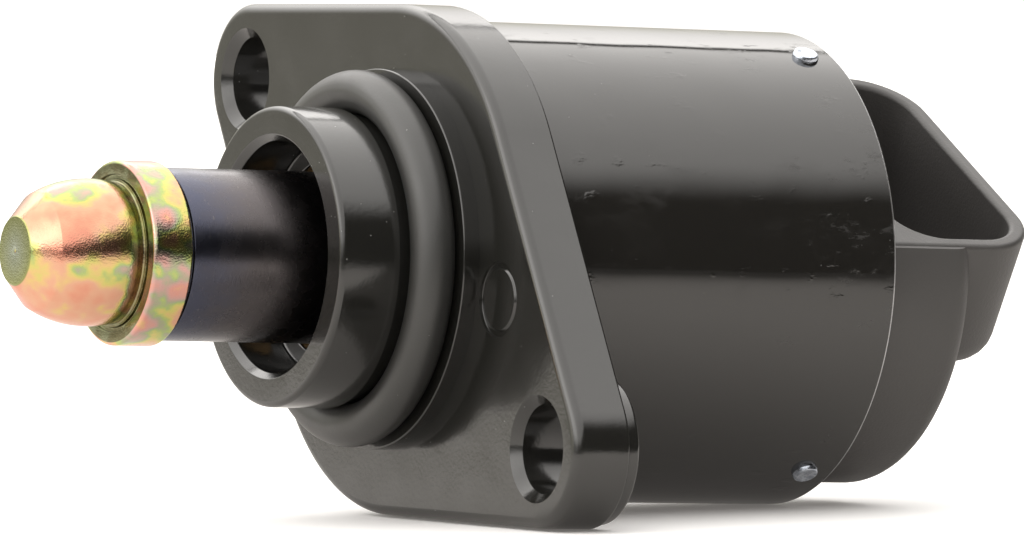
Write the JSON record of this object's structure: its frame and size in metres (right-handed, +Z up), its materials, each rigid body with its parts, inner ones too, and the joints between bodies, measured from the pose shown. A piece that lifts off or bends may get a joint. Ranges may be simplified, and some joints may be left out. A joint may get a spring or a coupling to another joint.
{
  "type": "idle air control valve",
  "caption": "Stepper-motor idle air valve: black flanged housing with sealed spigot, steel can, open connector socket and a zinc-plated pintle that slides in and out.",
  "frame": {"origin": "where the valve's axis crosses the front face of the flange", "axes": "X along the valve with the pintle towards -X, +Z up as it lies on the flange's straight lower edge, +Y away from the viewer of the picture"},
  "size_m": [0.0793, 0.0586, 0.0382],
  "materials": {
    "housing_plastic": "glossy black moulding",
    "ring_rubber": "satin black",
    "bronze": "sintered, satin",
    "yellow_zinc": "yellow-passivated zinc with pink and green tints",
    "blued_steel": "dark blued, satin",
    "bright_steel": "plain turned",
    "spring_steel": "bright drawn wire",
    "bearing_steel": "ground and polished",
    "magnet_ferrite": "dull dark grey",
    "pole_steel": "plain sheet",
    "bobbin_plastic": "natural, matte",
    "copper_wire": "enamelled wire",
    "can_paint": "glossy black with smudges",
    "pin_steel": "bright",
    "connector_plastic": "matte black moulding",
    "terminal_brass": "tinned brass"
  },
  "bodies": {
    "housing": {"flange_housing": "housing_plastic", "spigot_o_ring": "ring_rubber", "guide_bush": "bronze", "lock_plate": "bright_steel", "bearing_outer_race": "bearing_steel", "bearing_balls": "bearing_steel", "bearing_cage": "bronze", "thrust_washer": "bright_steel", "rear_bush": "bronze", "pole_plate_1": "pole_steel", "pole_plate_2": "pole_steel", "pole_plate_3": "pole_steel", "pole_plate_4": "pole_steel", "bobbin_1": "bobbin_plastic", "bobbin_2": "bobbin_plastic", "winding_1": "copper_wire", "winding_2": "copper_wire", "front_seal": "ring_rubber", "rear_seal": "ring_rubber", "motor_can": "can_paint", "can_pins": "pin_steel", "connector_housing": "connector_plastic", "terminal_1": "terminal_brass", "terminal_2": "terminal_brass", "terminal_3": "terminal_brass", "terminal_4": "terminal_brass"},
    "rotor": {"rotor_nut": "bobbin_plastic", "rotor_magnet": "magnet_ferrite", "bearing_inner_race": "bearing_steel"},
    "plunger": {"pintle_head": "yellow_zinc", "plunger_sleeve": "blued_steel", "lead_screw": "bright_steel", "return_spring": "spring_steel"}
  },
  "joints": [
    {"name": "rotor_spin", "type": "hinge", "parent": "housing", "child": "rotor", "pos_m": [0.02, 0, 0], "axis": [1, 0, 0], "range_deg": [-360, 2880]},
    {"name": "pintle_slide", "type": "slide", "parent": "housing", "child": "plunger", "axis": [1, 0, 0], "range_m": [-0.00101, 0.008], "deforming": ["return_spring"]}
  ],
  "couplings": [
    {"joint": "pintle_slide", "follows": "rotor_spin", "m_per_rad": 0.00015915}
  ]
}
